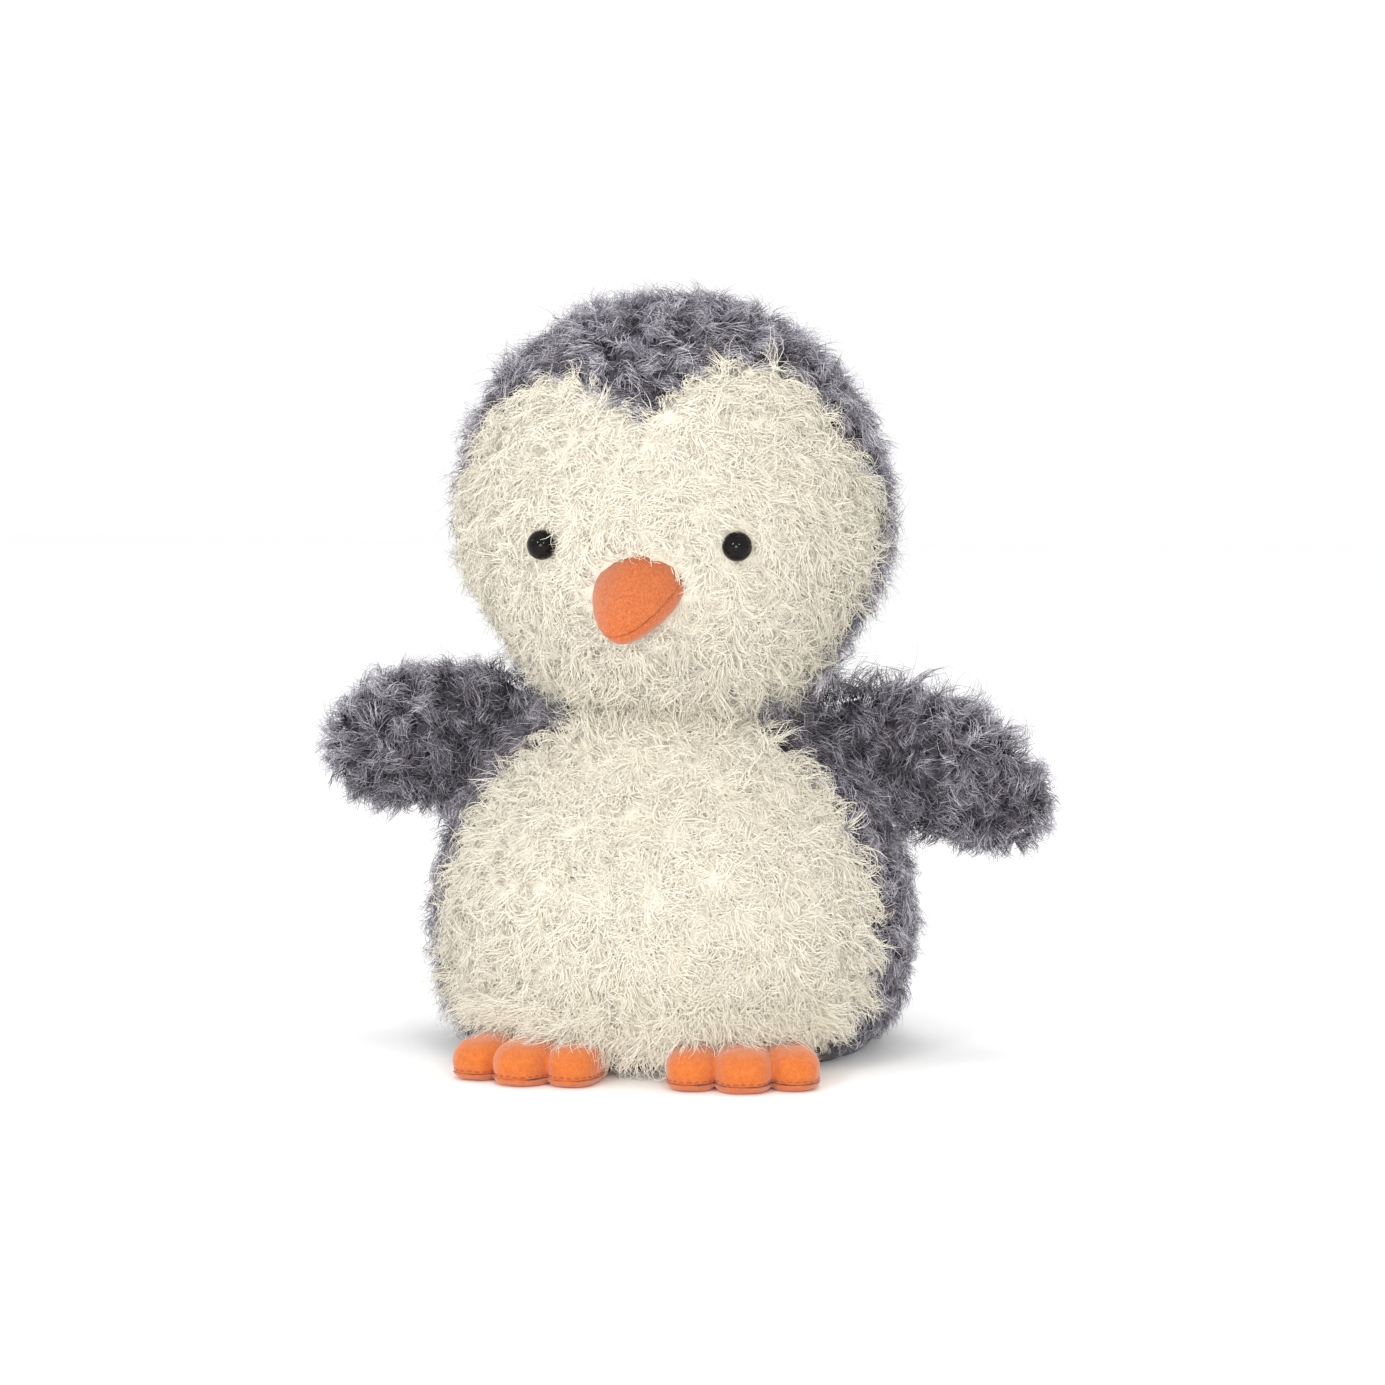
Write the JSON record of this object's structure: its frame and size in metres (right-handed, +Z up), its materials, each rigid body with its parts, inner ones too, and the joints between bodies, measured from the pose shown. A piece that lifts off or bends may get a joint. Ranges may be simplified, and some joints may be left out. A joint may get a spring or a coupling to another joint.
{
  "type": "plush penguin",
  "caption": "Curly pile plush penguin with a round head, stuffed body, flat side wings, suede beak and toed feet, standing on a flat base.",
  "frame": {"origin": "middle of the base panel's flat underside, on the surface the toy stands on", "axes": "+Z up through the head; the penguin faces -Y; +X is the penguin's own left"},
  "size_m": [0.1696, 0.1101, 0.1753],
  "materials": {
    "pile_cream": "matte",
    "pile_grey": "matte",
    "suede_orange": "matte",
    "fibre_filling": "matte",
    "pouch_cloth": "matte",
    "eye_black": "gloss",
    "washer_plastic": "matte"
  },
  "bodies": {
    "torso": {"belly_panel": "pile_cream", "back_panel_left": "pile_grey", "back_panel_right": "pile_grey", "base_panel": "pile_grey", "body_filling": "fibre_filling", "pellet_pouch": "pouch_cloth"},
    "neck": {"neck_filling": "fibre_filling"},
    "head": {"face_left": "pile_cream", "face_right": "pile_cream", "hood_left": "pile_grey", "hood_right": "pile_grey", "head_filling": "fibre_filling", "left_eye": "eye_black", "right_eye": "eye_black", "left_eye_washer": "washer_plastic", "right_eye_washer": "washer_plastic", "beak_upper": "suede_orange", "beak_lower": "suede_orange", "beak_filling": "fibre_filling"},
    "left_wing": {"left_wing_front": "pile_grey", "left_wing_back": "pile_grey", "left_wing_filling": "fibre_filling"},
    "left_foot": {"left_foot_upper": "suede_orange", "left_foot_sole": "suede_orange", "left_foot_filling": "fibre_filling"},
    "right_wing": {"right_wing_front": "pile_grey", "right_wing_back": "pile_grey", "right_wing_filling": "fibre_filling"},
    "right_foot": {"right_foot_upper": "suede_orange", "right_foot_sole": "suede_orange", "right_foot_filling": "fibre_filling"}
  },
  "joints": [
    {"name": "neck_turn", "type": "hinge", "parent": "torso", "child": "neck", "pos_m": [0, 0, 0.085], "axis": [0, 0, 1], "range_deg": [-28, 28], "stiffness_Nm_per_rad": 0.1},
    {"name": "head_nod", "type": "hinge", "parent": "neck", "child": "head", "pos_m": [0, 0, 0.085], "axis": [0.9998, -0.0175, 0], "range_deg": [-12, 15], "stiffness_Nm_per_rad": 0.15},
    {"name": "left_wing_swing", "type": "hinge", "parent": "torso", "child": "left_wing", "pos_m": [0.0435, 0, 0.0674], "axis": [0.6, 0, -0.8], "range_deg": [-55, 75], "stiffness_Nm_per_rad": 0.02},
    {"name": "right_wing_swing", "type": "hinge", "parent": "torso", "child": "right_wing", "pos_m": [-0.0435, 0, 0.0674], "axis": [0.6, 0, 0.8], "range_deg": [-55, 75], "stiffness_Nm_per_rad": 0.02},
    {"name": "left_foot_flex", "type": "hinge", "parent": "torso", "child": "left_foot", "pos_m": [0.0226, -0.0435, 0.0015], "axis": [-0.9848, -0.1736, 0], "range_deg": [0, 15], "stiffness_Nm_per_rad": 0.03},
    {"name": "right_foot_flex", "type": "hinge", "parent": "torso", "child": "right_foot", "pos_m": [-0.0226, -0.0435, 0.0015], "axis": [-0.9848, 0.1736, 0], "range_deg": [0, 15], "stiffness_Nm_per_rad": 0.03}
  ]
}
